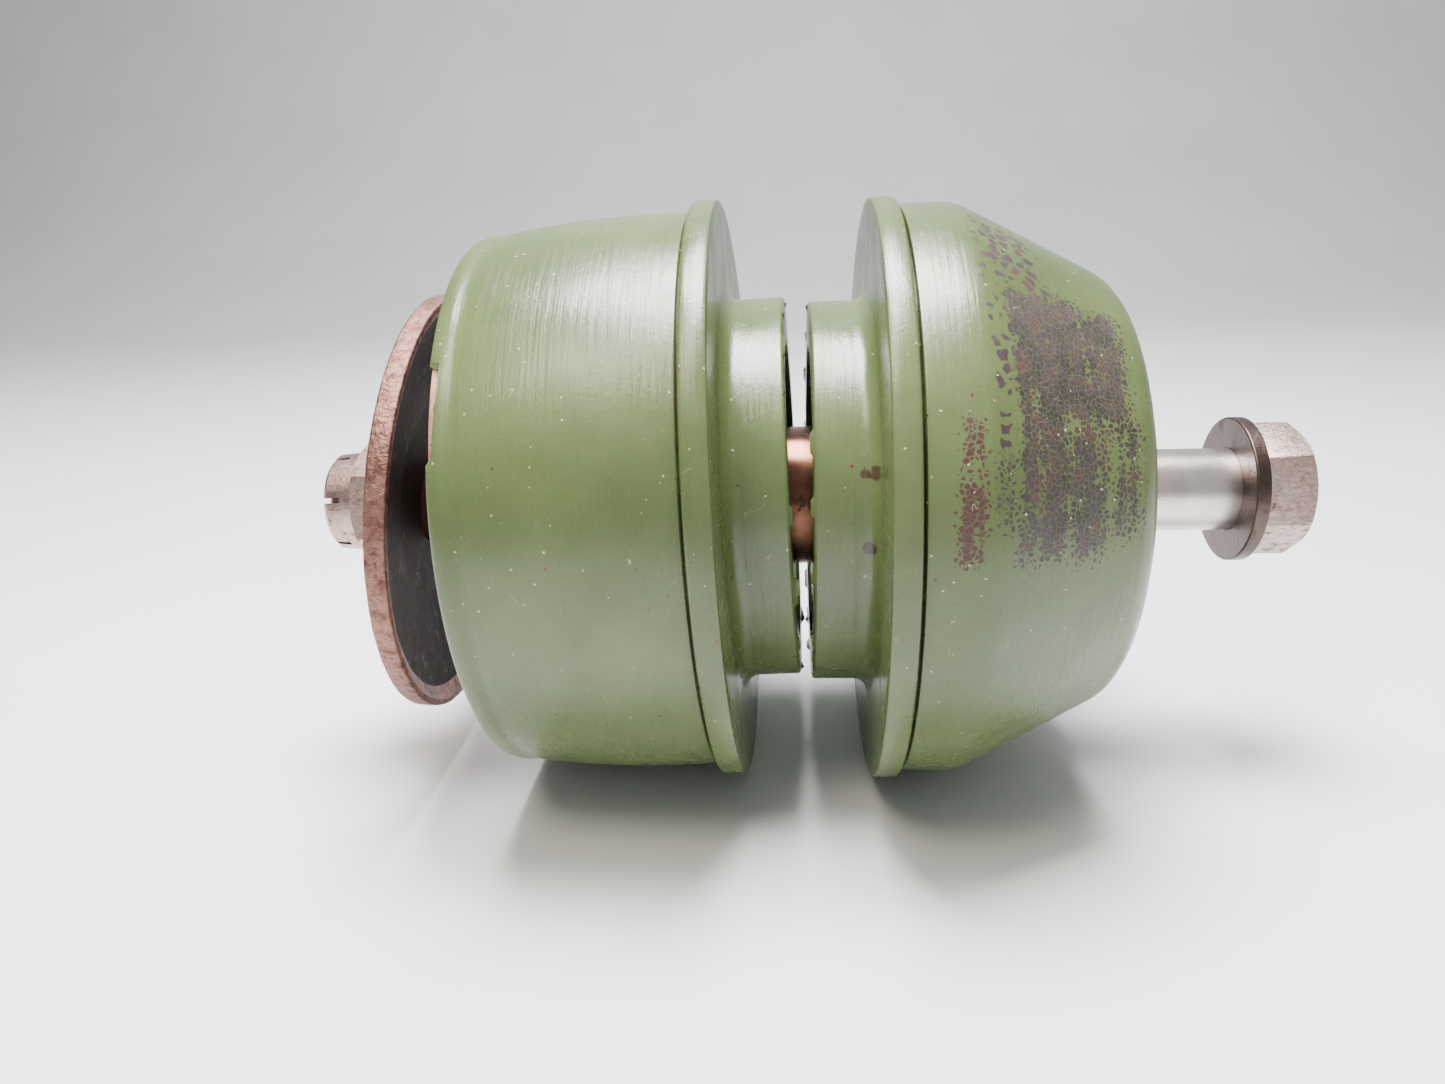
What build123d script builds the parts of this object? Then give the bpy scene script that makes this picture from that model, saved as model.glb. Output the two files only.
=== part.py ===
from build123d import *
import math
import os

# Two-piece bolted rubber mount, lying on its flange rims.
# Millimetres. The bolt runs along X, the nut is at -X and the bolt head at +X.
# The origin is on the table, under the middle of the bolt's axis.

# Where the bolt's axis is
AXIS_HEIGHT = 38.21

# Bolt, nut and flat washer (7/16 inch, 20 threads to the inch)
SHANK_RADIUS = 5.556
THREAD_RADIUS = 5.54
THREAD_PITCH = 1.27
THREAD_DEPTH = 0.55
THREAD_LENGTH = 12.3
BOLT_TIP = -65.3
TIP_CHAMFER = 0.8
HEAD_SEAT = 59.2
HEAD_HEIGHT = 6.7
HEAD_ACROSS_FLATS = 15.5
HEAD_FLAT_ANGLE = -12.0
WASHER_RADIUS = 9.7
WASHER_HOLE_RADIUS = 5.62
WASHER_THICKNESS = 1.8
WASHER_EDGE = 0.25
NUT_SEAT = -55.3
NUT_HEX_HEIGHT = 6.3
NUT_CROWN_HEIGHT = 4.1
NUT_ACROSS_FLATS = 15.0
NUT_CROWN_RADIUS = 6.73
NUT_BORE_RADIUS = 5.6
NUT_SLOT_COUNT = 6
NUT_SLOT_WIDTH = 0.7
NUT_SLOT_DEPTH = 2.6
NUT_SLOT_ANGLE = 14.0
HEX_CHAMFER_ANGLE = 28.0
HEX_END_SHARE = 0.98
NUT_FLAT_ANGLE = -8.0
NUT_CROWN_FLARE = 0.3
NUT_CROWN_CHAMFER = 0.6

# Share of each thread pitch: lead-in, foot of the groove, other foot, crest again
GROOVE_START = 0.3
GROOVE_SHARES = [0.4, 0.5, 0.9]

# How far a cutting or joining solid runs past the face it meets
OVERRUN = 1.0

# Spacer tube around the bolt
TUBE_RADIUS = 9.525
TUBE_BORE_RADIUS = 6.1
TUBE_HALF_LENGTH = 30.0
TUBE_EDGE = 0.5

# Both rubber halves: lengths run outward from the collar's end face.
# Bodies are (length, radius) points of the outer side, from the flange to the end.
HALF_LENGTH = 38.7
HALF_GAP = 1.1
COLLAR_RADIUS = 25.8
COLLAR_LENGTH = 7.6
COLLAR_MOUTH_RADIUS = 20.0
COLLAR_EDGE = 0.6
FLANGE_RADIUS = 38.66
FLANGE_THICKNESS = 3.1
FLANGE_ROOT_FILLET = 1.2
FLANGE_FRONT_EDGE = 0.4
FLANGE_BACK_ROUND = 0.4
POCKET_FLOOR = 14.0
POCKET_ROUND = 3.0
BORE_RADIUS = 11.9
PARTING_GROOVE_RADIUS = 36.85
PARTING_GROOVE_WIDTH = 0.35
LEFT_BODY = [
    (11.25, 37.25),
    (12.3, 37.35),
    (20.0, 37.45),
    (28.0, 37.1),
    (34.2, 36.4),
    (35.2, 35.75),
    (35.9, 35.75),
    (36.6, 36.05),
    (37.9, 36.0),
    (HALF_LENGTH, 35.65),
]
RIGHT_BODY = [
    (11.25, 37.6),
    (12.4, 37.75),
    (17.0, 37.85),
    (18.6, 37.5),
    (20.4, 36.6),
    (34.4, 29.5),
    (36.4, 28.2),
    (37.6, 26.9),
    (38.4, 25.1),
    (HALF_LENGTH, 23.3),
]

# Steel ring bonded inside each flange and collar
RING_DISC_RADIUS = 37.0
RING_THICKNESS = 1.2
RING_DISC_START = 8.55
RING_SLEEVE_INNER = 22.6
RING_SLEEVE_OUTER = 24.0
RING_SLEEVE_START = 1.0

# Steel plate bonded to each outer end
PLATE_THICKNESS = 2.0
PLATE_HOLE_RADIUS = 6.8
PLATE_SETBACK = 0.3
LEFT_PLATE_RADIUS = 35.3
RIGHT_PLATE_RADIUS = 22.5

# How each half sits on the bolt
LEFT_TILT = -2.4
LEFT_TURN = -1.0
LEFT_LIFT = 1.25
RIGHT_LIFT = 0.45

# Torn rubber that bares the left plate's edge
TEAR_ANGLE = 29.0
TEAR_LENGTH = 9.0
TEAR_WIDTH = 1.1
TEAR_HEIGHT = 4.0

# Dished steel washer, loose against the nut
DISH_RADIUS = 28.74
DISH_HOLE_RADIUS = 5.95
DISH_THICKNESS = 2.3
DISH_FLAT_RADIUS = 14.5
DISH_RIM_START = 3.5
DISH_RIM_WIDTH = 2.64
DISH_RIM_ROUND = 0.35
DISH_SLOPE_END = 2.2
DISH_LIP_FACE = 0.9
DISH_LIP_STEP = (0.5, 1.4)
DISH_LIP_FOOT = (1.2, 3.2)
DISH_BEND = 1.0
DISH_TILT = 4.5
DISH_PLACE = -54.55


def turned(outline):
    """A solid turned about the X axis from (along, radius) points."""
    return revolve(make_face(Polyline(*outline, close=True)), Axis.X)


def edges_at(solid, along, radius):
    """The turned solid's circular edges at one place along X."""
    circles = solid.edges().filter_by(GeomType.CIRCLE)
    return [
        edge
        for edge in circles
        if abs(edge.arc_center.X - along) < 0.02 and abs(edge.radius - radius) < 0.02
    ]


def washer_ring(outer, hole, start, thickness):
    """A flat ring about X."""
    end = start + thickness
    return turned([(start, hole), (start, outer), (end, outer), (end, hole)])


def hexagon_bar(across_flats, start, length, flat_angle):
    """A hexagonal bar along X with one flat turned to a stated angle."""
    hexagon = RegularPolygon(across_flats / 2, 6, major_radius=False, rotation=30)
    bar = Plane.YZ.offset(start) * hexagon
    return Rot(flat_angle, 0, 0) * extrude(bar, length)


def hexagon_cone(across_flats, base, end):
    """The cone that trims a hexagon's corners toward one end."""
    corner = across_flats / 2 / math.cos(math.radians(30)) + OVERRUN
    small = across_flats / 2 * HEX_END_SHARE
    direction = 1 if end > base else -1
    fall = (corner - small) * math.tan(math.radians(HEX_CHAMFER_ANGLE))
    start = base - direction * OVERRUN
    return turned([(start, 0), (start, corner), (end - direction * fall, corner), (end, small), (end, 0)])


def make_bolt():
    """Hex-head bolt with ring grooves standing for its thread."""
    thread_start = BOLT_TIP + THREAD_LENGTH
    chamfer_end = BOLT_TIP + TIP_CHAMFER
    root = THREAD_RADIUS - THREAD_DEPTH
    down, up, crest = [share * THREAD_PITCH for share in GROOVE_SHARES]
    outline = [(BOLT_TIP, 0), (BOLT_TIP, THREAD_RADIUS - TIP_CHAMFER), (chamfer_end, THREAD_RADIUS)]
    turns = int((THREAD_LENGTH - TIP_CHAMFER) / THREAD_PITCH)
    for turn in range(turns):
        groove = chamfer_end + GROOVE_START + turn * THREAD_PITCH
        outline += [(groove, THREAD_RADIUS), (groove + down, root), (groove + up, root)]
        outline.append((groove + crest, THREAD_RADIUS))
    inside_head = HEAD_SEAT + OVERRUN
    outline += [(thread_start, THREAD_RADIUS), (thread_start, SHANK_RADIUS)]
    outline += [(inside_head, SHANK_RADIUS), (inside_head, 0)]
    shank = turned(outline)
    head = hexagon_bar(HEAD_ACROSS_FLATS, HEAD_SEAT, HEAD_HEIGHT, HEAD_FLAT_ANGLE)
    head &= hexagon_cone(HEAD_ACROSS_FLATS, HEAD_SEAT, HEAD_SEAT + HEAD_HEIGHT)
    return shank + head


def make_head_washer():
    """Flat washer under the bolt's head."""
    start = HEAD_SEAT - WASHER_THICKNESS
    ring = washer_ring(WASHER_RADIUS, WASHER_HOLE_RADIUS, start, WASHER_THICKNESS)
    rims = edges_at(ring, start, WASHER_RADIUS) + edges_at(ring, HEAD_SEAT, WASHER_RADIUS)
    return fillet(rims, WASHER_EDGE)


def make_nut_crown(hex_end, crown_end):
    """The round slotted end of the locknut, before its slots."""
    foot = hex_end + OVERRUN
    flared = NUT_CROWN_RADIUS + NUT_CROWN_FLARE
    return turned([
        (foot, 0),
        (foot, flared),
        (hex_end, flared),
        (crown_end + NUT_CROWN_CHAMFER, NUT_CROWN_RADIUS),
        (crown_end, NUT_CROWN_RADIUS - NUT_CROWN_CHAMFER),
        (crown_end, 0),
    ])


def make_locknut():
    """All-metal locknut with a slotted crown."""
    hex_end = NUT_SEAT - NUT_HEX_HEIGHT
    crown_end = hex_end - NUT_CROWN_HEIGHT
    body = hexagon_bar(NUT_ACROSS_FLATS, hex_end, NUT_HEX_HEIGHT, NUT_FLAT_ANGLE)
    body &= hexagon_cone(NUT_ACROSS_FLATS, NUT_SEAT, hex_end)
    nut = body + make_nut_crown(hex_end, crown_end)
    bore_length = NUT_SEAT - crown_end + 2 * OVERRUN
    nut -= Pos(crown_end - OVERRUN, 0, 0) * Rot(0, 90, 0) * Cylinder(
        NUT_BORE_RADIUS, bore_length, align=(Align.CENTER, Align.CENTER, Align.MIN)
    )
    slot_block = Box(NUT_SLOT_DEPTH + OVERRUN, NUT_SLOT_WIDTH, NUT_CROWN_RADIUS)
    slot_place = crown_end + (NUT_SLOT_DEPTH - OVERRUN) / 2
    for slot in range(NUT_SLOT_COUNT):
        turn = NUT_SLOT_ANGLE + slot * 360 / NUT_SLOT_COUNT
        nut -= Rot(turn, 0, 0) * Pos(slot_place, 0, NUT_CROWN_RADIUS) * slot_block
    return nut


def make_spacer_tube():
    """Plain steel tube around the bolt."""
    tube = washer_ring(TUBE_RADIUS, TUBE_BORE_RADIUS, -TUBE_HALF_LENGTH, 2 * TUBE_HALF_LENGTH)
    near_rim = edges_at(tube, -TUBE_HALF_LENGTH, TUBE_RADIUS)
    far_rim = edges_at(tube, TUBE_HALF_LENGTH, TUBE_RADIUS)
    return chamfer(near_rim + far_rim, TUBE_EDGE)


def make_inner_ring():
    """L-section steel ring: a disc in the flange and a sleeve in the collar."""
    disc_end = RING_DISC_START + RING_THICKNESS
    return turned([
        (RING_SLEEVE_START, RING_SLEEVE_INNER),
        (RING_SLEEVE_START, RING_SLEEVE_OUTER),
        (RING_DISC_START, RING_SLEEVE_OUTER),
        (RING_DISC_START, RING_DISC_RADIUS),
        (disc_end, RING_DISC_RADIUS),
        (disc_end, RING_SLEEVE_INNER),
    ])


def make_outer_plate(radius):
    """Steel disc bonded into the outer end."""
    start = HALF_LENGTH - PLATE_SETBACK - PLATE_THICKNESS
    return washer_ring(radius, PLATE_HOLE_RADIUS, start, PLATE_THICKNESS)


def make_elastomer(body_outline, ring, plate, plate_radius):
    """Moulded half: collar, flange and body with a stepped bore through it."""
    flange_end = COLLAR_LENGTH + FLANGE_THICKNESS
    groove_end = flange_end + PARTING_GROOVE_WIDTH
    plate_start = HALF_LENGTH - PLATE_SETBACK - PLATE_THICKNESS
    outline = [
        (0, COLLAR_MOUTH_RADIUS),
        (0, COLLAR_RADIUS),
        (COLLAR_LENGTH, COLLAR_RADIUS),
        (COLLAR_LENGTH, FLANGE_RADIUS),
        (flange_end, FLANGE_RADIUS),
        (flange_end, PARTING_GROOVE_RADIUS),
        (groove_end, PARTING_GROOVE_RADIUS),
    ]
    outline += body_outline
    outline += [
        (HALF_LENGTH, plate_radius),
        (plate_start, plate_radius),
        (plate_start, BORE_RADIUS),
        (POCKET_FLOOR, BORE_RADIUS),
        (POCKET_FLOOR, COLLAR_MOUTH_RADIUS),
    ]
    rubber = turned(outline)
    rubber = fillet(edges_at(rubber, COLLAR_LENGTH, COLLAR_RADIUS), FLANGE_ROOT_FILLET)
    rubber = chamfer(edges_at(rubber, 0, COLLAR_RADIUS), COLLAR_EDGE)
    rubber = chamfer(edges_at(rubber, COLLAR_LENGTH, FLANGE_RADIUS), FLANGE_FRONT_EDGE)
    rubber = fillet(edges_at(rubber, flange_end, FLANGE_RADIUS), FLANGE_BACK_ROUND)
    rubber = fillet(edges_at(rubber, POCKET_FLOOR, COLLAR_MOUTH_RADIUS), POCKET_ROUND)
    return rubber - ring - plate


def tear_out():
    """The block of rubber missing beside the left plate's edge."""
    middle = HALF_LENGTH - PLATE_SETBACK + (OVERRUN - TEAR_WIDTH) / 2
    width = TEAR_WIDTH + OVERRUN
    height = LEFT_PLATE_RADIUS + TEAR_HEIGHT / 2 - OVERRUN
    block = Pos(middle, 0, height) * Box(width, TEAR_LENGTH, TEAR_HEIGHT)
    block -= Pos(middle, 0, 0) * Rot(0, 90, 0) * Cylinder(LEFT_PLATE_RADIUS, width + OVERRUN)
    return Rot(TEAR_ANGLE - 90, 0, 0) * block


def place_left(solid):
    """Turn a half end for end and set it on the bolt as the left half."""
    turned_round = Rot(0, 0, 180) * solid
    on_bolt = Rot(0, LEFT_TILT, 0) * Pos(-HALF_GAP, 0, 0) * turned_round
    return Pos(0, 0, LEFT_LIFT) * Rot(0, 0, LEFT_TURN) * on_bolt


def place_right(solid):
    """Set a half on the bolt as the right half."""
    return Pos(HALF_GAP, 0, RIGHT_LIFT) * solid


def make_left_half():
    """The three bonded pieces of the left half."""
    ring = make_inner_ring()
    plate = make_outer_plate(LEFT_PLATE_RADIUS)
    rubber = make_elastomer(LEFT_BODY, ring, plate, LEFT_PLATE_RADIUS)
    rubber -= tear_out()
    return place_left(rubber), place_left(plate), place_left(ring)


def make_right_half():
    """The three bonded pieces of the right half."""
    ring = make_inner_ring()
    plate = make_outer_plate(RIGHT_PLATE_RADIUS)
    rubber = make_elastomer(RIGHT_BODY, ring, plate, RIGHT_PLATE_RADIUS)
    return place_right(rubber), place_right(plate), place_right(ring)


def make_dished_washer():
    """Dished steel washer with a stepped lip, hollow side toward the rubber."""
    rim_end = DISH_RIM_START + DISH_RIM_WIDTH
    step_in, step_down = DISH_LIP_STEP
    foot_in, foot_down = DISH_LIP_FOOT
    dish = turned([
        (0, DISH_HOLE_RADIUS),
        (0, DISH_FLAT_RADIUS),
        (DISH_RIM_START - DISH_LIP_FACE / 2, DISH_RADIUS - DISH_SLOPE_END),
        (DISH_RIM_START, DISH_RADIUS),
        (rim_end, DISH_RADIUS),
        (rim_end, DISH_RADIUS - DISH_LIP_FACE),
        (rim_end - step_in, DISH_RADIUS - step_down),
        (rim_end - foot_in, DISH_RADIUS - foot_down),
        (DISH_THICKNESS, DISH_FLAT_RADIUS - DISH_BEND),
        (DISH_THICKNESS, DISH_HOLE_RADIUS),
    ])
    rims = edges_at(dish, DISH_RIM_START, DISH_RADIUS) + edges_at(dish, rim_end, DISH_RADIUS)
    dish = fillet(rims, DISH_RIM_ROUND)
    middle = DISH_THICKNESS / 2
    return Pos(DISH_PLACE + middle, 0, 0) * Rot(0, DISH_TILT, 0) * Pos(-middle, 0, 0) * dish


def save(solid, name):
    """Lift a finished piece to the table's frame and write its STEP file."""
    placed = Pos(0, 0, AXIS_HEIGHT) * solid
    export_step(Compound(placed.solids()), f"parts/{name}.step")


def main():
    """Make every piece and write it."""
    os.makedirs("parts", exist_ok=True)
    left_rubber, left_plate, left_ring = make_left_half()
    right_rubber, right_plate, right_ring = make_right_half()
    save(left_rubber, "left_elastomer")
    save(left_plate, "left_outer_plate")
    save(left_ring, "left_inner_ring")
    save(right_rubber, "right_elastomer")
    save(right_plate, "right_outer_plate")
    save(right_ring, "right_inner_ring")
    save(make_bolt(), "bolt")
    save(make_head_washer(), "head_washer")
    save(make_spacer_tube(), "spacer_tube")
    save(make_dished_washer(), "dished_washer")
    save(make_locknut(), "locknut")


main()
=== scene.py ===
import math
import random

import bmesh
import bpy
from mathutils import Matrix, Vector


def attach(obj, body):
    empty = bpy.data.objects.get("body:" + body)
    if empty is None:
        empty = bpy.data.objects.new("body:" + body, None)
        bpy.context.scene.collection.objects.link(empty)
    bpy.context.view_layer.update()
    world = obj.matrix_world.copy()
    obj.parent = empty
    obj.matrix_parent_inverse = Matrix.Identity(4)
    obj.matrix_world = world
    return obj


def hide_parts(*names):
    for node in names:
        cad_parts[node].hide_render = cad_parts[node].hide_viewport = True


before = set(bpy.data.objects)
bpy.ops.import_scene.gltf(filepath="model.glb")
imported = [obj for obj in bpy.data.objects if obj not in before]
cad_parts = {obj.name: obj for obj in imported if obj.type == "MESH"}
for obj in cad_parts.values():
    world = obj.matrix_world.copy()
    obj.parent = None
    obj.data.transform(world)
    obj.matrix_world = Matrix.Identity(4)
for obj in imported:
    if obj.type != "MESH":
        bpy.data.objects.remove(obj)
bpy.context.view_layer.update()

MM = 0.001

# Where the bolt's axis is, and how the two halves sit on it
AXIS_HEIGHT = 38.21 * MM
HALF_GAP = 1.1 * MM
LEFT_TILT = math.radians(-2.4)
LEFT_TURN = math.radians(-1.0)
LEFT_LIFT = 1.25 * MM
RIGHT_LIFT = 0.45 * MM

# Both halves, in mm: places along are from the collar's end face outward
COLLAR_RADIUS = 25.8
LIP_ROUND = 0.45
FLANGE_FRONT = 7.6
FLANGE_BACK = 10.7
FLANGE_RADIUS = 38.6
BORE_RADIUS = 11.9
POCKET_RADIUS = 20.0
PLATE_SEAT = 36.4
HALF_END = 38.7
LEFT_PLATE_RADIUS = 35.3
RIGHT_PLATE_RADIUS = 22.5

# The torn place on the left half's end rim: angles in degrees above the near side, depths in mm
TEAR_START = 22.5
TEAR_END = 38.5
TEAR_STEP = 1.25
TEAR_REACH = 0.85
TEAR_SEED = 5
TEAR_SHALLOW = 0.5
TEAR_DEEPER = 0.8

# Tabs of flash on each collar's edge: half widths in degrees, lengths in mm
TAB_COUNT = 16
TAB_HALF_WIDTHS = (1.3, 3.2)
TAB_LENGTHS = (0.15, 0.45)

# Dished washer and bolt, in mm along the bolt from the middle of the part
DISH_TILT = math.radians(4.5)
DISH_PLACE = -54.55
# it is cocked about the middle of its flat's thickness
DISH_MIDDLE = 1.15
DISH_RADIUS = 28.74
DISH_BORE_RADIUS = 5.95
# how far out the painted shade reaches on its inner side
PAINTED_SHADE_RADIUS = 26.4
HEAD_SEAT = 59.2
HEAD_END = 65.9
HEAD_ACROSS_FLATS = 15.5
HEAD_FLAT_ANGLE = math.radians(-12)
HEAD_CHAMFER = 0.8
# the end face's radius, as a share of half the width across the flats
HEAD_END_SHARE = 0.97
# how far the shank's end is sunk into the head
HEAD_SUNK = 0.6
SHANK_RADIUS = 5.556
THREAD_RADIUS = 5.54
THREAD_DEPTH = 0.5
THREAD_FLANK = 0.5
THREAD_ROOT = 0.15
THREAD_PITCH = 1.27
THREAD_TURNS = 9
THREAD_START = -53.0
BOLT_TIP = -65.3

# How finely round shapes are divided
HALF_SIDES = 288
DISH_SIDES = 240
BOLT_SIDES = 96


# ---------------------------------------------------------------- materials

def linear(code):
    """An sRGB hex colour as linear red, green, blue and 1."""
    channels = [int(code[i:i + 2], 16) / 255 for i in (0, 2, 4)]
    curve = [c / 12.92 if c <= 0.04045 else ((c + 0.055) / 1.055) ** 2.4 for c in channels]
    return (*curve, 1.0)


def node(tree, kind, inputs=None, stops=None, **settings):
    """Adds one node with its settings; inputs are values, or other nodes' outputs to link."""
    made = tree.nodes.new(kind)
    for name, value in settings.items():
        setattr(made, name, value)
    for key, value in (inputs or {}).items():
        if isinstance(value, bpy.types.NodeSocket):
            tree.links.new(value, made.inputs[key])
        else:
            made.inputs[key].default_value = value
    if stops:
        elements = made.color_ramp.elements
        while len(elements) < len(stops):
            elements.new(0.5)
        for element, (position, colour) in zip(elements, stops):
            element.position = position
            element.color = colour
    return made


def begin_material(name, lift=0.0, tilt=0.0, turn=0.0):
    """An empty material, its tree, and Object coordinates centred on a piece's own axis."""
    material = bpy.data.materials.new(name)
    material.use_nodes = True
    tree = material.node_tree
    tree.nodes.clear()
    place = node(tree, "ShaderNodeTexCoord").outputs["Object"]
    centred = node(tree, "ShaderNodeMapping", {
        "Vector": place, "Location": (0, 0, AXIS_HEIGHT + lift), "Rotation": (0, tilt, turn),
    }, vector_type="TEXTURE")
    return material, tree, centred.outputs[0]


def finish_material(tree, inputs):
    """The shader and the output that end a material."""
    shader = node(tree, "ShaderNodeBsdfPrincipled", inputs)
    node(tree, "ShaderNodeOutputMaterial", {"Surface": shader.outputs[0]})


def span_mask(tree, value, low, high, soft):
    """White where a value lies between two limits, fading over a softness each side."""
    rise = node(tree, "ShaderNodeMapRange", {
        "Value": value, "From Min": low - soft, "From Max": low + soft,
    }, interpolation_type="SMOOTHSTEP").outputs[0]
    fall = node(tree, "ShaderNodeMapRange", {
        "Value": value, "From Min": high - soft, "From Max": high + soft, "To Min": 1.0, "To Max": 0.0,
    }, interpolation_type="SMOOTHSTEP").outputs[0]
    return node(tree, "ShaderNodeMath", {0: rise, 1: fall}, operation="MULTIPLY").outputs[0]


# One radian round the axis counts as this length, so a noise on it runs in lines round the piece
RADIAN_LENGTH = 2 * MM


def around(tree, place):
    """How far along the bolt a point is, its angle above the near side, and both as one vector."""
    parts = node(tree, "ShaderNodeSeparateXYZ", {"Vector": place})
    toward = node(tree, "ShaderNodeMath", {0: parts.outputs[1], 1: -1.0}, operation="MULTIPLY").outputs[0]
    angle = node(tree, "ShaderNodeMath", {0: parts.outputs[2], 1: toward}, operation="ARCTAN2").outputs[0]
    wrapped = node(tree, "ShaderNodeMath", {0: angle, 1: RADIAN_LENGTH}, operation="MULTIPLY").outputs[0]
    lines = node(tree, "ShaderNodeCombineXYZ", {0: parts.outputs[0], 1: wrapped}).outputs[0]
    return parts.outputs[0], angle, lines


# A patch's edges along the bolt fade over its softness; those at its angles fade over this many
# radians for each mm of it, which is about the same length at the stain's radius
RADIANS_PER_SOFT_MM = 0.04


def covered(tree, along, angle, patches):
    """The heaviest of several patches: ((from, to) in mm, (from, to) in degrees, softness in mm, weight)."""
    total = 0.0
    for (start, end), (low, high), soft, weight in patches:
        across = span_mask(tree, along, start * MM, end * MM, soft * MM)
        height = span_mask(tree, angle, math.radians(low), math.radians(high), soft * RADIANS_PER_SOFT_MM)
        patch = node(tree, "ShaderNodeMath", {0: across, 1: height}, operation="MULTIPLY").outputs[0]
        patch = node(tree, "ShaderNodeMath", {0: patch, 1: weight}, operation="MULTIPLY").outputs[0]
        total = node(tree, "ShaderNodeMath", {0: total, 1: patch}, operation="MAXIMUM").outputs[0]
    return total


def flakes(tree, place, coverage, scale, thinnest):
    """Islands that grow together as the coverage rises, with clean cracks between them."""
    wander = node(tree, "ShaderNodeTexNoise", {
        "Vector": place, "Scale": scale * 1.4, "Detail": 3,
    }).outputs["Color"]
    # places shift by up to 0.55 of a cell, so the cells come out uneven
    push = 0.55 / scale
    uneven_place = node(tree, "ShaderNodeVectorMath", {
        0: wander, 1: (push, push, push), 2: place,
    }, operation="MULTIPLY_ADD").outputs[0]
    cells = node(tree, "ShaderNodeTexVoronoi", {
        "Vector": uneven_place, "Scale": scale,
    }, feature="DISTANCE_TO_EDGE").outputs[0]
    # half a crack's width, in cells, falls from 0.3 where the film is thin to its thinnest where it is thick
    crack = node(tree, "ShaderNodeMapRange", {
        "Value": coverage, "From Min": 0.08, "From Max": 0.62, "To Min": 0.30, "To Max": thinnest,
    }).outputs[0]
    over = node(tree, "ShaderNodeMath", {0: cells, 1: crack}, operation="SUBTRACT").outputs[0]
    islands = node(tree, "ShaderNodeMapRange", {
        "Value": over, "From Min": 0.0, "From Max": 0.05,
    }).outputs[0]
    any_here = node(tree, "ShaderNodeMapRange", {
        "Value": coverage, "From Min": 0.04, "From Max": 0.10,
    }).outputs[0]
    return node(tree, "ShaderNodeMath", {0: islands, 1: any_here}, operation="MULTIPLY").outputs[0]


# The stain's patches: (from, to) in mm along, (from, to) in degrees, softness in mm, weight
BROWN_PATCHES = [
    ((21.2, 35.4), (28, 54), 1.8, 1.0),
    ((21.6, 27.5), (2, 32), 1.2, 0.95),
    ((27.5, 32.5), (1, 32), 1.8, 0.82),
    ((32.0, 36.6), (4, 30), 1.8, 0.60),
    ((19.8, 26.5), (50, 75), 1.8, 0.70),
    ((19.3, 21.5), (8, 60), 1.0, 0.50),
]
RED_PATCHES = [
    ((15.4, 18.3), (3, 16), 0.9, 1.0),
    ((15.6, 18.3), (14, 26), 0.9, 0.55),
]
# Where its flakes are the large ones
LARGE_FLAKE_PATCHES = [
    ((18.0, 27.5), (52, 84), 1.2, 1.0),
    ((18.6, 21.8), (20, 80), 0.8, 1.0),
]
# Flakes per metre, and half the thinnest crack in flakes: flakes 1.7 mm and 0.7 mm across
LARGE_FLAKES = (590, 0.04)
SMALL_FLAKES = (1500, 0.004)


def stain_thickness(tree, place, lines):
    """How much thicker or thinner a dried film is from place to place: blots 4 mm across, and streaks."""
    blot = node(tree, "ShaderNodeTexNoise", {
        "Vector": place, "Scale": 260, "Detail": 6, "Roughness": 0.7,
    }).outputs[0]
    streaks = node(tree, "ShaderNodeTexNoise", {"Vector": lines, "Scale": 900, "Detail": 3}).outputs[0]
    uneven = node(tree, "ShaderNodeMapRange", {
        "Value": blot, "From Min": 0.25, "From Max": 0.75, "To Min": 0.25, "To Max": 1.45,
    }).outputs[0]
    streaky = node(tree, "ShaderNodeMapRange", {
        "Value": streaks, "From Min": 0.35, "From Max": 0.65, "To Min": -0.30, "To Max": 0.25,
    }).outputs[0]
    return node(tree, "ShaderNodeMath", {0: uneven, 1: streaky}, operation="ADD").outputs[0]


def stained(tree, place, colour, roughness):
    """The dried brown stain on one half, broken up into flakes; returns the new colour and roughness."""
    along, angle, lines = around(tree, place)
    brown = covered(tree, along, angle, BROWN_PATCHES)
    red = covered(tree, along, angle, RED_PATCHES)
    wide = covered(tree, along, angle, LARGE_FLAKE_PATCHES)
    uneven = stain_thickness(tree, place, lines)
    # the dried film's own colour shifts from mauve to rust brown over 2 to 3 mm
    shift = node(tree, "ShaderNodeTexNoise", {"Vector": place, "Scale": 420, "Detail": 5}).outputs[0]
    film = node(tree, "ShaderNodeValToRGB", {"Fac": shift}, [
        (0.36, linear("2c2228")), (0.52, linear("3d2d36")), (0.66, linear("462b2f")),
    ]).outputs[0]
    for coverage, tint in ((brown, film), (red, linear("431c24"))):
        thickness = node(tree, "ShaderNodeMath", {0: coverage, 1: uneven}, operation="MULTIPLY").outputs[0]
        large = flakes(tree, place, thickness, *LARGE_FLAKES)
        small = flakes(tree, place, thickness, *SMALL_FLAKES)
        shown = node(tree, "ShaderNodeMix", {0: wide, 2: small, 3: large}).outputs[0]
        # a little of the green still comes through the film
        shown = node(tree, "ShaderNodeMath", {0: shown, 1: 0.93}, operation="MULTIPLY").outputs[0]
        colour = node(tree, "ShaderNodeMix", {0: shown, 6: colour, 7: tint}, data_type="RGBA").outputs[2]
        roughness = node(tree, "ShaderNodeMath", {
            0: shown, 1: 0.22, 2: roughness,
        }, operation="MULTIPLY_ADD").outputs[0]
    return colour, roughness


# Painted shade in the parting grooves, the gap between each flange and its body, in mm along the bolt, and
# the shade's dark brown
PARTING_LINES = ((11.8, 12.3), (-12.3, -11.8))
PARTING_GROOVE_SHADE = "33291c"


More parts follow.
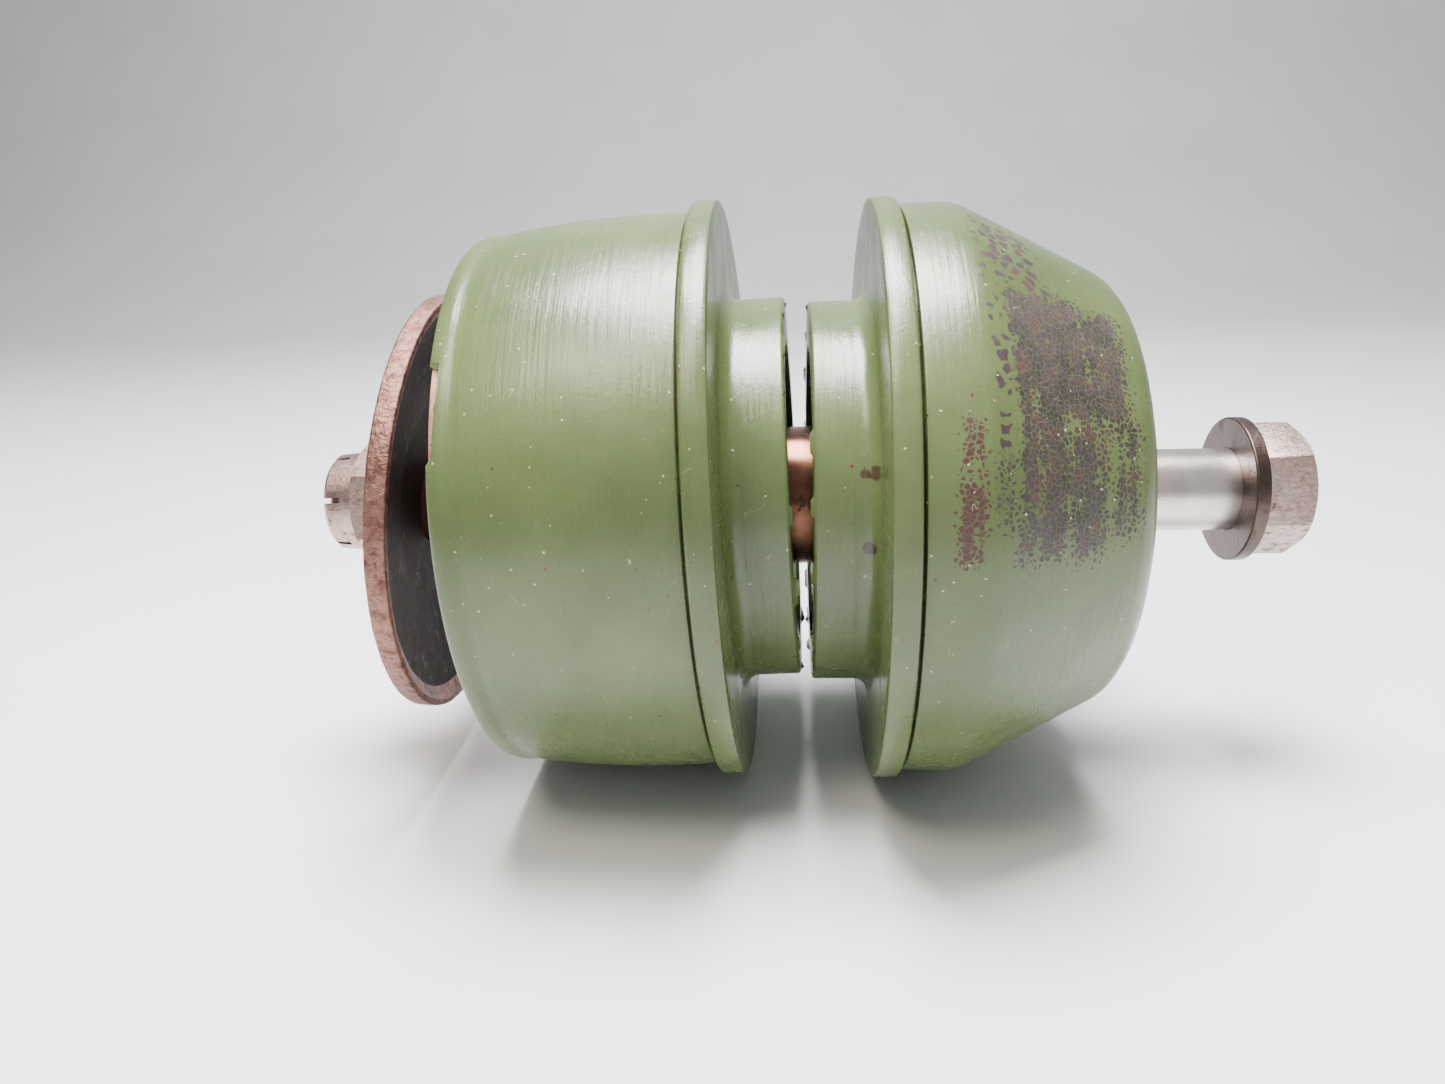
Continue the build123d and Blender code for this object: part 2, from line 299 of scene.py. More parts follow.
def green_with_film(tree, place):
    """The green's drift and the oily film on it; returns the colour and the film's noise."""
    # the green drifts a little over about 20 mm, as a hand-mixed cast does
    drift = node(tree, "ShaderNodeTexNoise", {
        "Vector": place, "Scale": 42, "Detail": 4, "Roughness": 0.55,
    }).outputs[0]
    colour = node(tree, "ShaderNodeValToRGB", {"Fac": drift}, [
        (0.30, linear("485631")), (0.50, linear("54613a")), (0.72, linear("606d43")),
    ]).outputs[0]
    # an oily brown film with soft edges, about 6 mm across
    film = node(tree, "ShaderNodeTexNoise", {
        "Vector": place, "Scale": 150, "Detail": 7, "Roughness": 0.65,
    }).outputs[0]
    oily = node(tree, "ShaderNodeMapRange", {
        "Value": film, "From Min": 0.54, "From Max": 0.78, "To Max": 0.5,
    }).outputs[0]
    colour = node(tree, "ShaderNodeMix", {
        0: oily, 6: colour, 7: linear("564e30"),
    }, data_type="RGBA").outputs[2]
    return colour, film


def with_painted_groove_shade(tree, along, film, colour):
    """Painted shade in the parting grooves: dark brown, broken into patches by the film's noise."""
    shade_patches = node(tree, "ShaderNodeMapRange", {
        "Value": film, "From Min": 0.3, "From Max": 0.5, "To Max": 0.8,
    }).outputs[0]
    for start, end in PARTING_LINES:
        groove = span_mask(tree, along, start * MM, end * MM, 0.12 * MM)
        groove_shade = node(tree, "ShaderNodeMath", {0: groove, 1: shade_patches}, operation="MULTIPLY").outputs[0]
        colour = node(tree, "ShaderNodeMix", {
            0: groove_shade, 6: colour, 7: linear(PARTING_GROOVE_SHADE),
        }, data_type="RGBA").outputs[2]
    return colour


def with_smears(tree, place, smears, colour):
    """Smears with ragged edges: (along in mm, degrees above the near side, radius and size in mm, colour)."""
    ragged = node(tree, "ShaderNodeTexNoise", {"Vector": place, "Scale": 1900, "Detail": 5}).outputs[0]
    for along, degrees, radius, size, code in smears:
        turn = math.radians(degrees)
        centre = Vector((along, -radius * math.cos(turn), radius * math.sin(turn))) * MM
        away = node(tree, "ShaderNodeVectorMath", {
            0: place, 1: centre,
        }, operation="DISTANCE").outputs["Value"]
        edge = node(tree, "ShaderNodeMath", {
            0: ragged, 1: 1.6 * size * MM, 2: away,
        }, operation="MULTIPLY_ADD").outputs[0]
        smear = node(tree, "ShaderNodeMapRange", {
            "Value": edge, "From Min": 1.8 * size * MM, "From Max": 1.6 * size * MM, "To Max": 0.85,
        }).outputs[0]
        colour = node(tree, "ShaderNodeMix", {
            0: smear, 6: colour, 7: linear(code),
        }, data_type="RGBA").outputs[2]
    return colour


# Specks, one to a cell: cells per metre, the speck's radius in cells, and its colour. They come out
# 0.2 to 0.5 mm across: pale dust, dark grit, brown grit and a few rust-red crumbs
SPECKS = (
    (520, 0.075, "b9bea6"),
    (330, 0.055, "2b2219"),
    (420, 0.050, "40301f"),
    (170, 0.042, "6b2417"),
)
SPECK_PUSH = 0.45 * MM


def with_specks(tree, place, colour):
    """Grit and dust, pulled out of round."""
    push = node(tree, "ShaderNodeTexNoise", {"Vector": place, "Scale": 2600, "Detail": 2}).outputs["Color"]
    ragged_place = node(tree, "ShaderNodeVectorMath", {
        0: push, 1: (SPECK_PUSH, SPECK_PUSH, SPECK_PUSH), 2: place,
    }, operation="MULTIPLY_ADD").outputs[0]
    for scale, size, code in SPECKS:
        near = node(tree, "ShaderNodeTexVoronoi", {
            "Vector": ragged_place, "Scale": scale,
        }).outputs["Distance"]
        speck = node(tree, "ShaderNodeMapRange", {
            "Value": near, "From Min": size, "From Max": size * 0.6,
        }).outputs[0]
        colour = node(tree, "ShaderNodeMix", {
            0: speck, 6: colour, 7: linear(code),
        }, data_type="RGBA").outputs[2]
    return colour


def with_lint(tree, place, colour):
    """Lint: level lines of a noise, kept only in short lengths."""
    curl = node(tree, "ShaderNodeTexNoise", {
        "Vector": place, "Scale": 150, "Detail": 1.5, "Distortion": 1.6,
    }).outputs[0]
    off_line = node(tree, "ShaderNodeMath", {0: curl, 1: 0.5}, operation="SUBTRACT").outputs[0]
    off_line = node(tree, "ShaderNodeMath", {0: off_line}, operation="ABSOLUTE").outputs[0]
    line = node(tree, "ShaderNodeMapRange", {
        "Value": off_line, "From Min": 0.0035, "From Max": 0.0015,
    }).outputs[0]
    where = node(tree, "ShaderNodeTexNoise", {"Vector": place, "Scale": 330, "Detail": 2}).outputs[0]
    short = node(tree, "ShaderNodeMapRange", {
        "Value": where, "From Min": 0.65, "From Max": 0.69, "To Max": 0.6,
    }).outputs[0]
    lint = node(tree, "ShaderNodeMath", {0: line, 1: short}, operation="MULTIPLY").outputs[0]
    return node(tree, "ShaderNodeMix", {
        0: lint, 6: colour, 7: linear("b4b99f"),
    }, data_type="RGBA").outputs[2]


def rubber_bump(tree, place, lines, film):
    """Lines 0.7 mm apart round the half, a moulded grain 0.5 mm across and the film's own thickness."""
    turned_lines = node(tree, "ShaderNodeTexNoise", {"Vector": lines, "Scale": 1500, "Detail": 3}).outputs[0]
    grain = node(tree, "ShaderNodeTexNoise", {"Vector": place, "Scale": 1900, "Detail": 3}).outputs[0]
    first = node(tree, "ShaderNodeBump", {
        "Height": turned_lines, "Strength": 0.45, "Distance": 0.14 * MM,
    })
    second = node(tree, "ShaderNodeBump", {
        "Height": grain, "Strength": 0.18, "Distance": 0.10 * MM, "Normal": first.outputs[0],
    })
    third = node(tree, "ShaderNodeBump", {
        "Height": film, "Strength": 0.25, "Distance": 0.3 * MM, "Normal": second.outputs[0],
    })
    return third.outputs[0]


def rubber_material(name, seat, smears=(), has_stain=False):
    """Cast green elastomer, handled and oily: satin, with fine lines round it, grit and lint."""
    material, tree, place = begin_material(name, *seat)
    along, _, lines = around(tree, place)
    colour, film = green_with_film(tree, place)
    roughness = node(tree, "ShaderNodeMapRange", {
        "Value": film, "From Min": 0.35, "From Max": 0.7, "To Min": 0.23, "To Max": 0.36,
    }).outputs[0]
    # painted shade darkens the parting grooves
    colour = with_painted_groove_shade(tree, along, film, colour)
    colour = with_smears(tree, place, smears, colour)
    if has_stain:
        colour, roughness = stained(tree, place, colour, roughness)
    colour = with_specks(tree, place, colour)
    colour = with_lint(tree, place, colour)
    finish_material(tree, {
        "Base Color": colour, "Roughness": roughness, "Normal": rubber_bump(tree, place, lines, film),
        "IOR": 1.5,
    })
    return material


def metal_material(name, codes, dirt_code, dirt_share, rough, pit, scale=160, worn=None):
    """A worn metal: mottled colour, dirt in blotches, fine scratches and shallow pits."""
    material, tree, place = begin_material(name)
    mottle = node(tree, "ShaderNodeTexNoise", {
        "Vector": place, "Scale": scale, "Detail": 7, "Roughness": 0.62,
    }).outputs[0]
    stops = [(0.30 + 0.40 * i / (len(codes) - 1), linear(code)) for i, code in enumerate(codes)]
    metal = node(tree, "ShaderNodeValToRGB", {"Fac": mottle}, stops).outputs[0]
    blotch = node(tree, "ShaderNodeTexNoise", {
        "Vector": place, "Scale": scale * 2.3, "Detail": 6, "Roughness": 0.7,
    }).outputs[0]
    dirt = node(tree, "ShaderNodeMapRange", {
        "Value": blotch, "From Min": 0.62 - dirt_share, "From Max": 0.74 - dirt_share,
    }).outputs[0]
    if worn:
        # one stretch of the piece, in mm along the bolt, has lost its plating
        low, high = worn
        along = node(tree, "ShaderNodeSeparateXYZ", {"Vector": place}).outputs[0]
        bare = span_mask(tree, along, low * MM, high * MM, 2.0 * MM)
        dirt = node(tree, "ShaderNodeMath", {0: dirt, 1: bare}, operation="MAXIMUM").outputs[0]
    colour = node(tree, "ShaderNodeMix", {
        0: dirt, 6: metal, 7: linear(dirt_code),
    }, data_type="RGBA").outputs[2]
    metallic = node(tree, "ShaderNodeMapRange", {
        "Value": dirt, "To Min": 1.0, "To Max": 0.35,
    }).outputs[0]
    roughness = node(tree, "ShaderNodeMapRange", {
        "Value": dirt, "To Min": rough, "To Max": rough + 0.25,
    }).outputs[0]
    finish_material(tree, {
        "Base Color": colour, "Metallic": metallic, "Roughness": roughness,
        "Normal": metal_bump(tree, place, pit),
    })
    return material


def metal_bump(tree, place, pit):
    """Scratches 0.2 mm wide along the piece, and pits 0.7 mm across and less."""
    stretched = node(tree, "ShaderNodeMapping", {"Vector": place, "Scale": (0.06, 1.0, 1.0)}).outputs[0]
    scratch = node(tree, "ShaderNodeTexNoise", {"Vector": stretched, "Scale": 5200, "Detail": 2}).outputs[0]
    pits = node(tree, "ShaderNodeTexNoise", {
        "Vector": place, "Scale": 1500, "Detail": 5, "Roughness": 0.7,
    }).outputs[0]
    first = node(tree, "ShaderNodeBump", {"Height": scratch, "Strength": 0.12, "Distance": 0.05 * MM})
    second = node(tree, "ShaderNodeBump", {
        "Height": pits, "Strength": pit, "Distance": 0.25 * MM, "Normal": first.outputs[0],
    })
    return second.outputs[0]


# Cast polyurethane, turned smooth: satin olive green that shows grit and lint
left_green = rubber_material("cast_polyurethane_left", (LEFT_LIFT, LEFT_TILT, LEFT_TURN))
# The same, with a dried brown stain that has broken up into flakes, and three smears on the collar
right_green = rubber_material("cast_polyurethane_stained", (RIGHT_LIFT, 0.0, 0.0), smears=(
    (8.0, 19, 26.6, 0.9, "3f2a26"),
    (6.9, 19, 25.9, 0.7, "3f2a26"),
    (7.4, 0, 26.0, 0.9, "37302c"),
), has_stain=True)
# Pressed mild steel left to rust: brown and pinkish, matt, pitted
rusted_pressing = metal_material(
    "rusted_pressed_steel", ["503630", "77544c", "916a60", "5f423b"],
    dirt_code="3c2824", dirt_share=0.06, rough=0.42, pit=0.9, scale=520)
# The same pressing inside, painted nearly black as painted shade on the side that faces the rubber
shaded_inner_pressing = metal_material(
    "painted_shade_pressed_steel", ["1a1416", "261d1f", "1f181a"],
    dirt_code="110d0e", dirt_share=0.30, rough=0.45, pit=0.5, scale=300)
# Zinc plated steel: pale grey and bright, rust brown from the right half's end to the nut, where
# the plating has gone
plated_bolt = metal_material(
    "plated_bolt_steel", ["c3b6b0", "d6cbc6", "cabeb7"],
    dirt_code="5a3327", dirt_share=-0.05, rough=0.30, pit=0.12, worn=(-56, 40))
# The bolt's head, handled and knocked: the same plating, pinker, with dirt in blotches
plated_head = metal_material(
    "worn_bolt_head_steel", ["977f78", "bea49c", "ab9088"],
    dirt_code="4a322a", dirt_share=0.08, rough=0.33, pit=0.6, scale=260)
# Bronze-brown passivated washer, duller than the bolt
plated_washer = metal_material(
    "passivated_washer_steel", ["433733", "594b46", "4b3f3a"],
    dirt_code="2b201b", dirt_share=0.06, rough=0.36, pit=0.3)
# The locknut's plating, dulled and pinkish brown
plated_nut = metal_material(
    "plated_nut_steel", ["8d756e", "b0968e", "9d837b"],
    dirt_code="452f28", dirt_share=0.08, rough=0.32, pit=0.4, scale=300)
# Drawn tube with a copper-brown tarnish, still bright
tarnished_tube = metal_material(
    "tarnished_drawn_tube", ["5d3d31", "73503f", "86604c"],
    dirt_code="2c1c18", dirt_share=0.03, rough=0.22, pit=0.04)
# Steel bonded into the rubber: bond primer the colour of old copper, matt
primed_steel = metal_material(
    "primed_bonded_steel", ["8c6456", "b08a7c", "98705f"],
    dirt_code="6b4a40", dirt_share=0.04, rough=0.5, pit=0.35)


# ---------------------------------------------------------------- modelling

def deselect_all():
    """Nothing selected, object mode."""
    if bpy.context.object and bpy.context.object.mode != "OBJECT":
        bpy.ops.object.mode_set(mode="OBJECT")
    bpy.ops.object.select_all(action="DESELECT")


def select_only(piece):
    """One piece selected and active, object mode."""
    deselect_all()
    piece.select_set(True)
    bpy.context.view_layer.objects.active = piece


def apply_place(piece):
    """The piece's place goes into its mesh, and its object goes back to the origin."""
    select_only(piece)
    bpy.ops.object.transform_apply(location=True, rotation=True, scale=True)


def turned_shell(name, rings, sides, bored=True):
    """A closed shell turned about X: a circle extruded and resized from ring to ring, in mm.

    A bored shell comes back to its first ring; a solid one has its two ends filled."""
    deselect_all()
    along, radius = rings[0]
    bpy.ops.mesh.primitive_circle_add(vertices=sides, radius=radius * MM,
                                      location=(along * MM, 0, 0), rotation=(0, math.pi / 2, 0))
    piece = bpy.context.object
    piece.name = name
    apply_place(piece)
    bpy.ops.object.mode_set(mode="EDIT")
    bpy.ops.mesh.select_all(action="SELECT")
    for next_along, next_radius in rings[1:] + (rings[:1] if bored else []):
        step = (next_along - along) * MM
        grow = next_radius / radius
        bpy.ops.mesh.extrude_edges_move(TRANSFORM_OT_translate={"value": (step, 0, 0)})
        if next_radius != radius:
            bpy.ops.transform.resize(value=(1, grow, grow), center_override=(next_along * MM, 0, 0))
        along, radius = next_along, next_radius
    bpy.ops.mesh.select_all(action="SELECT")
    bpy.ops.mesh.remove_doubles(threshold=0.002 * MM)
    if not bored:
        bpy.ops.mesh.fill_holes(sides=0)
        bpy.ops.mesh.select_all(action="SELECT")
    bpy.ops.mesh.normals_make_consistent(inside=False)
    leave_edit()
    return piece


def select_edges(piece, test):
    """Edit mode, with only the edges selected whose two ends pass a test on their place."""
    select_only(piece)
    bpy.ops.object.mode_set(mode="EDIT")
    bpy.ops.mesh.select_mode(type="EDGE")
    bpy.ops.mesh.select_all(action="DESELECT")
    mesh = bmesh.from_edit_mesh(piece.data)
    for edge in mesh.edges:
        edge.select_set(all(test(vertex.co) for vertex in edge.verts))
    bmesh.update_edit_mesh(piece.data)


def turned_place(point):
    """A point as its place along X and radius, in mm, and its angle round X in degrees."""
    angle = math.degrees(math.atan2(point.z, point.y))
    return point.x / MM, math.hypot(point.y, point.z) / MM, angle


def leave_edit():
    """Nothing selected, back to object mode."""
    bpy.ops.mesh.select_all(action="DESELECT")
    bpy.ops.object.mode_set(mode="OBJECT")


def bevel_ring(piece, along, radius, offset, segments=3):
    """Rounds the edge that runs round the shell at one place along and one radius, in mm."""
    def on_ring(point):
        x, r, _ = turned_place(point)
        return abs(x - along) < 0.004 and abs(r - radius) < 0.01

    select_edges(piece, on_ring)
    bpy.ops.mesh.bevel(offset=offset * MM, segments=segments, affect="EDGES")
    leave_edit()


def smooth(piece, degrees=32):
    """Smooth shading that keeps the sharp edges."""
    select_only(piece)
    bpy.ops.object.shade_smooth_by_angle(angle=math.radians(degrees))


def roughen(piece, depth, size):
    """Lets a surface wander by a depth over a size, both in mm, and keeps the result."""
    cloud = bpy.data.textures.new(piece.name + "_waviness", "CLOUDS")
    cloud.noise_scale = size * MM
    cloud.noise_depth = 2
    wander = piece.modifiers.new("waviness", "DISPLACE")
    wander.texture = cloud
    wander.texture_coords = "LOCAL"
    wander.strength = depth * MM
    select_only(piece)
    bpy.ops.object.modifier_apply(modifier=wander.name)


def give(piece, material):
    """One material all over a piece."""
    piece.data.materials.clear()
    piece.data.materials.append(material)


# ---------------------------------------------------------------- the two rubber halves

LEFT_PLACE = (Matrix.Translation((0, 0, AXIS_HEIGHT + LEFT_LIFT)) @ Matrix.Rotation(LEFT_TURN, 4, "Z")
              @ Matrix.Rotation(LEFT_TILT, 4, "Y") @ Matrix.Translation((-HALF_GAP, 0, 0))
              @ Matrix.Rotation(math.pi, 4, "Z"))
RIGHT_PLACE = Matrix.Translation((HALF_GAP, 0, AXIS_HEIGHT + RIGHT_LIFT))

# Outlines as (along, radius) in mm. First the collar, the flange and the parting groove behind it
COLLAR_RINGS = [
    (0.0, 20.6), (0.0, 22.6), (0.0, 24.6), (0.0, COLLAR_RADIUS), (0.35, COLLAR_RADIUS),
    (2.5, COLLAR_RADIUS - 0.02), (5.0, COLLAR_RADIUS), (FLANGE_FRONT, COLLAR_RADIUS),
]
FLANGE_RINGS = [
    (FLANGE_FRONT, 29.0), (FLANGE_FRONT, 33.0), (FLANGE_FRONT, 36.5), (FLANGE_FRONT, FLANGE_RADIUS),
    (9.2, FLANGE_RADIUS + 0.06), (FLANGE_BACK, FLANGE_RADIUS), (10.75, 37.6), (10.75, 36.9), (11.0, 36.85),
]
# The straight-sided body, with a faint rim before its end, and the seat of its plate
LEFT_BODY_RINGS = [
    (11.05, 37.1), (11.25, 37.27), (12.0, 37.32), (16.0, 37.4), (20.0, 37.45), (24.0, 37.35),
    (28.0, 37.1), (31.0, 36.8), (33.4, 36.5), (34.5, 36.33), (35.1, 36.2), (35.6, 36.1), (36.0, 36.07),
    (36.5, 36.12), (36.9, 36.16), (37.4, 36.12), (37.9, 36.0), (38.35, 35.85), (38.62, 35.65),
    (HALF_END, 35.45), (HALF_END, LEFT_PLATE_RADIUS), (37.6, LEFT_PLATE_RADIUS),
    (PLATE_SEAT, LEFT_PLATE_RADIUS),
]
# The cone-shaped body, rounded into its end, and the seat of its plate
RIGHT_BODY_RINGS = [
    (11.05, 37.3), (11.25, 37.6), (12.4, 37.72), (13.4, 37.77), (15.2, 37.83), (16.8, 37.83),
    (17.8, 37.7), (18.6, 37.45), (19.5, 37.05), (20.4, 36.6), (24.0, 34.78), (28.0, 32.75),
    (32.0, 30.72), (34.4, 29.5), (35.5, 28.9), (36.4, 28.25), (37.1, 27.5), (37.7, 26.7), (38.1, 25.85),
    (38.42, 25.0), (38.6, 24.2), (38.68, 23.4), (HALF_END, 22.9), (HALF_END, RIGHT_PLATE_RADIUS),
    (37.6, RIGHT_PLATE_RADIUS), (PLATE_SEAT, RIGHT_PLATE_RADIUS),
]
# The bore from the outer end inward, then the pocket in the collar
BORE_RINGS = [
    (PLATE_SEAT, BORE_RADIUS), (28.0, BORE_RADIUS), (20.0, BORE_RADIUS), (14.0, BORE_RADIUS),
    (14.0, 15.0), (13.9, 17.2), (13.2, 18.9), (11.6, 19.9), (8.0, POCKET_RADIUS), (4.0, POCKET_RADIUS),
    (0.5, POCKET_RADIUS),
]


def moulded_half(name, body_rings):
    """One rubber half in its own place: outward is +X."""
    half = turned_shell(name, COLLAR_RINGS + FLANGE_RINGS + body_rings + BORE_RINGS, HALF_SIDES)
    bevel_ring(half, 0.0, COLLAR_RADIUS, LIP_ROUND)
    bevel_ring(half, FLANGE_FRONT, COLLAR_RADIUS, 2.0, segments=6)
    bevel_ring(half, FLANGE_FRONT, FLANGE_RADIUS, 0.40, segments=2)
    bevel_ring(half, FLANGE_BACK, FLANGE_RADIUS, 0.40)
    return half


def ragged_lip(half, seed):
    """Flash left on the collar's edge: short tabs pulled out of it at random places round it."""
    chance = random.Random(seed)
    for _ in range(TAB_COUNT):
        middle = chance.uniform(-180, 180)
        half_width = chance.uniform(*TAB_HALF_WIDTHS)
        length = chance.uniform(*TAB_LENGTHS)

        def in_tab(point):
            x, r, angle = turned_place(point)
            on_lip = x < 0.02 and abs(r - (COLLAR_RADIUS - LIP_ROUND)) < 0.2
            return on_lip and abs(angle - middle) < half_width

        select_edges(half, in_tab)
        bpy.ops.transform.translate(value=(-length * MM, 0, 0))
        leave_edit()


def tear_lip(half):
    """Rips the thin skin off the end rim between two angles, deeper to the top, so the plate's edge shows."""
    chance = random.Random(TEAR_SEED)
    start = TEAR_START
    while start < TEAR_END:
        share = (start - TEAR_START) / (TEAR_END - TEAR_START)
        depth = TEAR_SHALLOW + TEAR_DEEPER * share + chance.uniform(-0.1, 0.1)
        limit = start + TEAR_STEP

        def in_strip(point):
            x, r, angle = turned_place(point)
            return x > HALF_END - TEAR_REACH and r > LEFT_PLATE_RADIUS - 0.1 and start <= angle < limit + 0.1

        select_edges(half, in_strip)
        bpy.ops.transform.translate(value=(-depth * MM, 0, 0))
        leave_edit()
        start = limit


left_rubber = moulded_half("left_rubber_half", LEFT_BODY_RINGS)
tear_lip(left_rubber)
ragged_lip(left_rubber, seed=11)
left_rubber.matrix_world = LEFT_PLACE
apply_place(left_rubber)
roughen(left_rubber, depth=0.10, size=14)
smooth(left_rubber)
give(left_rubber, left_green)
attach(left_rubber, "left_half")
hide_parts("left_elastomer")

right_rubber = moulded_half("right_rubber_half", RIGHT_BODY_RINGS)
ragged_lip(right_rubber, seed=23)
right_rubber.matrix_world = RIGHT_PLACE
apply_place(right_rubber)
roughen(right_rubber, depth=0.10, size=12)
smooth(right_rubber)
give(right_rubber, right_green)
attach(right_rubber, "right_half")
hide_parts("right_elastomer")

# ---------------------------------------------------------------- dished washer

# Its outer side from the bore to the rim, over the rim, and back along its inner side
DISH_RINGS = [
    (0.0, DISH_BORE_RADIUS), (0.0, 10.0), (0.0, 14.2), (0.15, 15.0), (1.2, 19.2), (2.3, 23.4),
    (3.0, 26.0), (3.25, 27.0), (3.45, 27.9), (3.5, DISH_RADIUS), (4.8, DISH_RADIUS + 0.02),
    (6.14, DISH_RADIUS), (6.14, 27.9), (6.0, 27.75), (5.65, 27.4), (5.55, 27.0), (5.2, 26.1),
    (4.94, 25.5), (4.2, 21.6), (3.3, 17.0), (2.45, 13.9), (2.3, 13.3), (2.3, 9.5),
    (2.3, DISH_BORE_RADIUS),
]
dish = turned_shell("dished_washer_pressing", DISH_RINGS, DISH_SIDES)
bevel_ring(dish, 3.5, DISH_RADIUS, 0.35)
bevel_ring(dish, 6.14, DISH_RADIUS, 0.30)
dish.matrix_world = (Matrix.Translation(((DISH_PLACE + DISH_MIDDLE) * MM, 0, AXIS_HEIGHT))
                     @ Matrix.Rotation(DISH_TILT, 4, "Y") @ Matrix.Translation((-DISH_MIDDLE * MM, 0, 0)))
apply_place(dish)
roughen(dish, depth=0.12, size=3.0)
smooth(dish)
give(dish, rusted_pressing)
dish.data.materials.append(shaded_inner_pressing)
# faces on the inner side within this radius take the painted shade
for face in dish.data.polygons:
    out = math.hypot(face.center.y, face.center.z - AXIS_HEIGHT)
    if face.normal.x > 0.2 and out < PAINTED_SHADE_RADIUS * MM:
        face.material_index = 1
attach(dish, "dished_washer")
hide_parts("dished_washer")

# ---------------------------------------------------------------- bolt


def bolt_rings():
    """Shank, thread and tip of the bolt: (along, radius) in mm."""
    rings = [(HEAD_SEAT + HEAD_SUNK, SHANK_RADIUS)]
    rings += [(along, SHANK_RADIUS) for along in (50, 40, 20, 0, -20, -40)]
    rings += [(THREAD_START, SHANK_RADIUS), (THREAD_START - 0.1, THREAD_RADIUS)]
    for turn in range(THREAD_TURNS):
        crest = THREAD_START - 0.3 - turn * THREAD_PITCH
        root = crest - THREAD_FLANK
        rings += [(crest, THREAD_RADIUS), (root, THREAD_RADIUS - THREAD_DEPTH)]
        root -= THREAD_ROOT
        rings += [(root, THREAD_RADIUS - THREAD_DEPTH), (root - THREAD_FLANK, THREAD_RADIUS)]
    return rings + [(BOLT_TIP + 0.4, THREAD_RADIUS), (BOLT_TIP, THREAD_RADIUS - 0.5)]


def round_blank(radius, length):
    """The head's blank before its flats: a cylinder with a chamfer on its outer end, in mm."""
    deselect_all()
    bpy.ops.mesh.primitive_cylinder_add(
        vertices=BOLT_SIDES, radius=radius * MM, depth=length * MM,
        location=((HEAD_SEAT + length / 2) * MM, 0, 0), rotation=(0, math.pi / 2, 0))
    blank = bpy.context.object
    blank.name = "bolt_head_blank"
    apply_place(blank)
    bpy.ops.object.mode_set(mode="EDIT")
    bpy.ops.mesh.select_mode(type="FACE")
    bpy.ops.mesh.select_all(action="DESELECT")
    mesh = bmesh.from_edit_mesh(blank.data)
    for face in mesh.faces:
        face.select_set(face.normal.x > 0.9)
    bmesh.update_edit_mesh(blank.data)
    bpy.ops.mesh.extrude_region_move(TRANSFORM_OT_translate={"value": (HEAD_CHAMFER * MM, 0, 0)})
    share = HEAD_ACROSS_FLATS / 2 * HEAD_END_SHARE / radius
    bpy.ops.transform.resize(value=(1, share, share), center_override=(HEAD_END * MM, 0, 0))
    return blank


def milled_head():
    """A round blank, chamfered at its end, with six flats cut on it and its edges worn."""
    corner = HEAD_ACROSS_FLATS / math.sqrt(3)
    head = round_blank(corner, HEAD_END - HEAD_SEAT - HEAD_CHAMFER)
    for side in range(6):
        turn = HEAD_FLAT_ANGLE + side * math.pi / 3
        outward = Vector((0, math.cos(turn), math.sin(turn)))
        bpy.ops.mesh.select_all(action="SELECT")
        bpy.ops.mesh.bisect(plane_co=outward * HEAD_ACROSS_FLATS / 2 * MM, plane_no=outward,
                            use_fill=True, clear_outer=True)
    bpy.ops.mesh.select_all(action="SELECT")
    bpy.ops.mesh.remove_doubles(threshold=0.01 * MM)
    leave_edit()
    select_edges(head, lambda point: turned_place(point)[1] > corner - 0.35)
    bpy.ops.mesh.bevel(offset=0.22 * MM, segments=3, affect="EDGES")
    leave_edit()
    return head


bolt = turned_shell("worn_through_bolt", bolt_rings(), BOLT_SIDES, bored=False)
head = milled_head()
give(head, plated_head)
give(bolt, plated_bolt)
deselect_all()
head.select_set(True)
bolt.select_set(True)
bpy.context.view_layer.objects.active = bolt
bpy.ops.object.join()
bolt.location = (0, 0, AXIS_HEIGHT)
apply_place(bolt)
smooth(bolt, 28)
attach(bolt, "bolt")
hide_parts("bolt")

# ---------------------------------------------------------------- CAD pieces that stay

for name, material in {
    "head_washer": plated_washer, "locknut": plated_nut, "spacer_tube": tarnished_tube,
    "left_outer_plate": primed_steel, "left_inner_ring": primed_steel,
    "right_outer_plate": primed_steel, "right_inner_ring": primed_steel,
}.items():
    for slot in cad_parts[name].material_slots:
        slot.material = material

# ---------------------------------------------------------------- stage, in metres

FLOOR_SIZE = 12
FLOOR_BACK = 1.2
BACKDROP_HEIGHT = 2.0
BACKDROP_ROUND = 0.6


def at_back(point):
    """Whether a point of the floor is on its back edge, or on the backdrop over it."""
    return point.y > FLOOR_BACK - 0.1


deselect_all()
bpy.ops.mesh.primitive_plane_add(size=FLOOR_SIZE, location=(0, FLOOR_BACK - FLOOR_SIZE / 2, 0))
floor = bpy.context.object
floor.name = "table_top"
apply_place(floor)
select_edges(floor, at_back)
bpy.ops.mesh.extrude_edges_move(TRANSFORM_OT_translate={"value": (0, 0, BACKDROP_HEIGHT)})
select_edges(floor, lambda point: at_back(point) and point.z < 0.01)
bpy.ops.mesh.bevel(offset=BACKDROP_ROUND, segments=16, affect="EDGES")
leave_edit()
smooth(floor, 40)
pale, tree, place = begin_material("pale_painted_board")
patchy = node(tree, "ShaderNodeTexNoise", {"Vector": place, "Scale": 9, "Detail": 3}).outputs[0]
tone = node(tree, "ShaderNodeValToRGB", {"Fac": patchy}, [
    (0.3, linear("dcdee0")), (0.7, linear("e4e5e6")),
]).outputs[0]
finish_material(tree, {"Base Color": tone, "Roughness": 0.62})
give(floor, pale)


